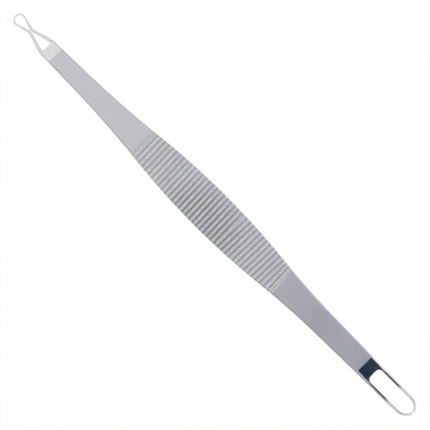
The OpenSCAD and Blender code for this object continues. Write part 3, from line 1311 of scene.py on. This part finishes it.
@dataclass
class Studio:
    """White floor and surroundings, cards for the reflections, one softbox and the camera."""

    pixel_mm: float = 0.2339
    image_px: int = 430
    roll: float = 2.0
    lens: float = 400.0
    sensor: float = 36.0
    clip: Plan = (0.01, 20.0)
    aim: Solid = (0.20, 0.08, 1.0)
    world_level: float = 0.9
    floor_reach: float = 4000.0
    floor_tone: Solid = (0.93, 0.93, 0.93)
    floor_white: float = 0.95
    softbox_at: Solid = (330.0, 20.0, 270.0)
    softbox_side: float = 300.0
    softbox_power: float = 0.09
    cards: tuple[Card, ...] = (
        Card("navy_card", "Y", (-2.5, 2.5), (0.015, 0.035, 0.078), (0.038, 0.052, 0.078),
             (50.7, 54.0), (-5.0, 5.0), (7.0, 7.0)),
        Card("strand_card", "Y", (-4.0, 4.0), (0.045, 0.052, 0.066), (0.075, 0.085, 0.10),
             (53.7, 63.0), (-3.2, 6.2), (26.0, 26.0)),
        Card("pale_card", "X", (-62.0, -54.0), PALE, PALE,
             (-72.0, -54.0), (-6.0, 6.0), (8.0, 8.0)),
        Card("top_card", "X", (-2.0, 22.0), (0.82, 0.82, 0.815), (0.435, 0.445, 0.475),
             (-90.0, 47.0), (-60.0, 60.0), (110.0, 110.0)),
        Card("end_card", "X", (50.0, 58.0), (0.515, 0.525, 0.575), (0.82, 0.82, 0.83),
             (37.0, 60.0), (-30.0, 30.0), (28.0, 28.0)),
        Card("bevel_card", "X", (49.0, 60.0), (0.46, 0.47, 0.49), (0.52, 0.53, 0.54),
             (49.6, 62.0), (-20.0, -20.0), (0.5, 20.0)),
        Card("near_flag", "X", (-42.0, -4.0), (0.38, 0.38, 0.39), (0.07, 0.07, 0.075), *NEAR_FLAG),
        Slats("near_flag_slats", "X", FLAG_X, SLAT_TONE, SLAT_TONE, *NEAR_FLAG),
        Card("far_flag", "X", (-20.0, 30.0), (0.42, 0.42, 0.43), (0.58, 0.58, 0.60), *FAR_FLAG),
    )

    def camera(self) -> bpy.types.Object:
        """Places the camera above the tool, with the tool's length on the picture's diagonal.

        Returns:
            The camera.
        """
        data = bpy.data.cameras.new("camera")
        data.lens, data.sensor_width, data.sensor_height = self.lens, self.sensor, self.sensor
        data.sensor_fit = "HORIZONTAL"
        data.clip_start, data.clip_end = self.clip
        a = math.radians(self.roll)
        along, across = Vector((1, 0, 0)), Vector((0, math.cos(a), math.sin(a)))
        right, up = (along + across).normalized(), (across - along).normalized()
        back = right.cross(up)
        away = self.pixel_mm * self.image_px / self.sensor * self.lens
        spot = (Vector(self.aim) + back * away) * MM
        made = add_object("camera", data)
        made.matrix_world = Matrix.Translation(spot) @ Matrix((right, up, back)).transposed().to_4x4()
        bpy.context.scene.camera = made
        return made

    def sheet(self, name: str, corners: Sequence[Solid],
              material: bpy.types.Material) -> bpy.types.Object:
        """Makes flat stage sheets as one object.

        Args:
            name: the object's name.
            corners: corners in millimetres, four for each sheet.
            material: its material.

        Returns:
            The object.
        """
        mesh = bpy.data.meshes.new(name)
        mesh.from_pydata([tuple(c * MM for c in p) for p in corners], [],
                         [range(i, i + 4) for i in range(0, len(corners), 4)])
        mesh.materials.append(material)
        made = add_object(name, mesh)
        return made

    def floor(self) -> bpy.types.Object:
        """Lays the floor, white where it is seen, with only a faint shadow of the tool.

        Returns:
            The floor.
        """
        material, g = new_material("floor_white")
        plain = g.node("ShaderNodeBsdfDiffuse", {}, {"Color": self.floor_tone})
        glow = g.node("ShaderNodeEmission", {}, {"Color": (1, 1, 1), "Strength": 1.0})
        shade = g.node("ShaderNodeMixShader", {},
                       {0: self.seen(g) * self.floor_white, 1: plain, 2: glow})
        g.add("ShaderNodeOutputMaterial", {}, {"Surface": shade})
        r = self.floor_reach
        return self.sheet("floor", [(-r, -r, 0), (r, -r, 0), (r, r, 0), (-r, r, 0)], material)

    @staticmethod
    def seen(g: Graph) -> Wire:
        """Tells rays that show a surface from rays that light one.

        Args:
            g: the graph of the floor or of the world.

        Returns:
            1 for camera, glossy and transmission rays, and 0 for the rest.
        """
        rays = [g.node("ShaderNodeLightPath", {}, {}, name)
                for name in ("Is Camera Ray", "Is Glossy Ray", "Is Transmission Ray")]
        return (rays[0] + rays[1] + rays[2]).clamp()

    def world(self) -> None:
        """White surroundings: full white where they are seen, a little less as light."""
        world = bpy.data.worlds.new("surroundings")
        world.use_nodes = True
        bpy.context.scene.world = world
        g = Graph(world.node_tree)
        level = self.world_level + (1.0 - self.world_level) * self.seen(g)
        shade = g.node("ShaderNodeBackground", {}, {"Color": (1, 1, 1), "Strength": level})
        g.add("ShaderNodeOutputWorld", {}, {"Surface": shade})

    def hang(self, card: Card) -> bpy.types.Object:
        """Hangs a card that only reflections show, as a flag beside a product table.

        Args:
            card: the card's place and its two colours.

        Returns:
            The card's sheet.
        """
        material, g = new_material(card.name)
        share = g.along(card.axis).ease(card.fade[0] * MM, card.fade[1] * MM)
        shade = g.node("ShaderNodeEmission", {},
                       {"Color": g.blend(share, card.near, card.far), "Strength": 1.0})
        g.add("ShaderNodeOutputMaterial", {}, {"Surface": shade})
        made = self.sheet(card.name, card.corners(), material)
        made.visible_camera = made.visible_diffuse = made.visible_shadow = False
        return made

    def softbox(self) -> bpy.types.Object:
        """Adds the one square softbox, which points at the tool.

        Returns:
            The softbox.
        """
        data = bpy.data.lights.new("key", "AREA")
        data.size, data.energy = self.softbox_side * MM, self.softbox_power
        made = add_object("key", data)
        made.location = Vector(self.softbox_at) * MM
        made.rotation_euler = Vector(self.softbox_at).to_track_quat("Z", "Y").to_euler()
        return made

    def build(self) -> None:
        """Sets the stage, the light, the camera and the plain view transform."""
        self.floor()
        self.world()
        for card in self.cards:
            self.hang(card)
        self.softbox()
        self.camera()
        bpy.context.scene.view_settings.view_transform = "Standard"


# The whole tool


def settle(piece: bpy.types.Object, node: str, material: bpy.types.Material) -> None:
    """Dresses a piece, seats it on the body and hides the CAD node that it replaces.

    Args:
        piece: the new piece.
        node: the CAD node that it replaces.
        material: the finish.
    """
    piece.data.materials.append(material)
    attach(piece, "root")
    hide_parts(node)
    log.info("%s: %d faces", piece.name, len(piece.data.polygons))


def main() -> None:
    logging.basicConfig(level=logging.INFO, format="%(message)s")
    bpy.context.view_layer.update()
    satin, polished = SatinSteel().material(), PolishedSteel().material()

    # The handle's CAD box starts at the small loop's seam.
    handle = Handle(seam_x=round(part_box("handle")[0].x / MM, 3))
    settle(handle.build(), "handle", satin)
    small = SmallLoop(handle.seam_x, handle.small_neck.width, handle.thick / 2)
    settle(small.build(), "small_loop", polished)
    large = LargeLoop(handle.seam_x + handle.length, handle.large_neck.width, handle.thick / 2)
    settle(large.build(), "large_loop", polished)

    Studio().build()
    log.info("studio: %d cards, a softbox and the camera", len(Studio.cards))


if __name__ == "__main__":
    main()
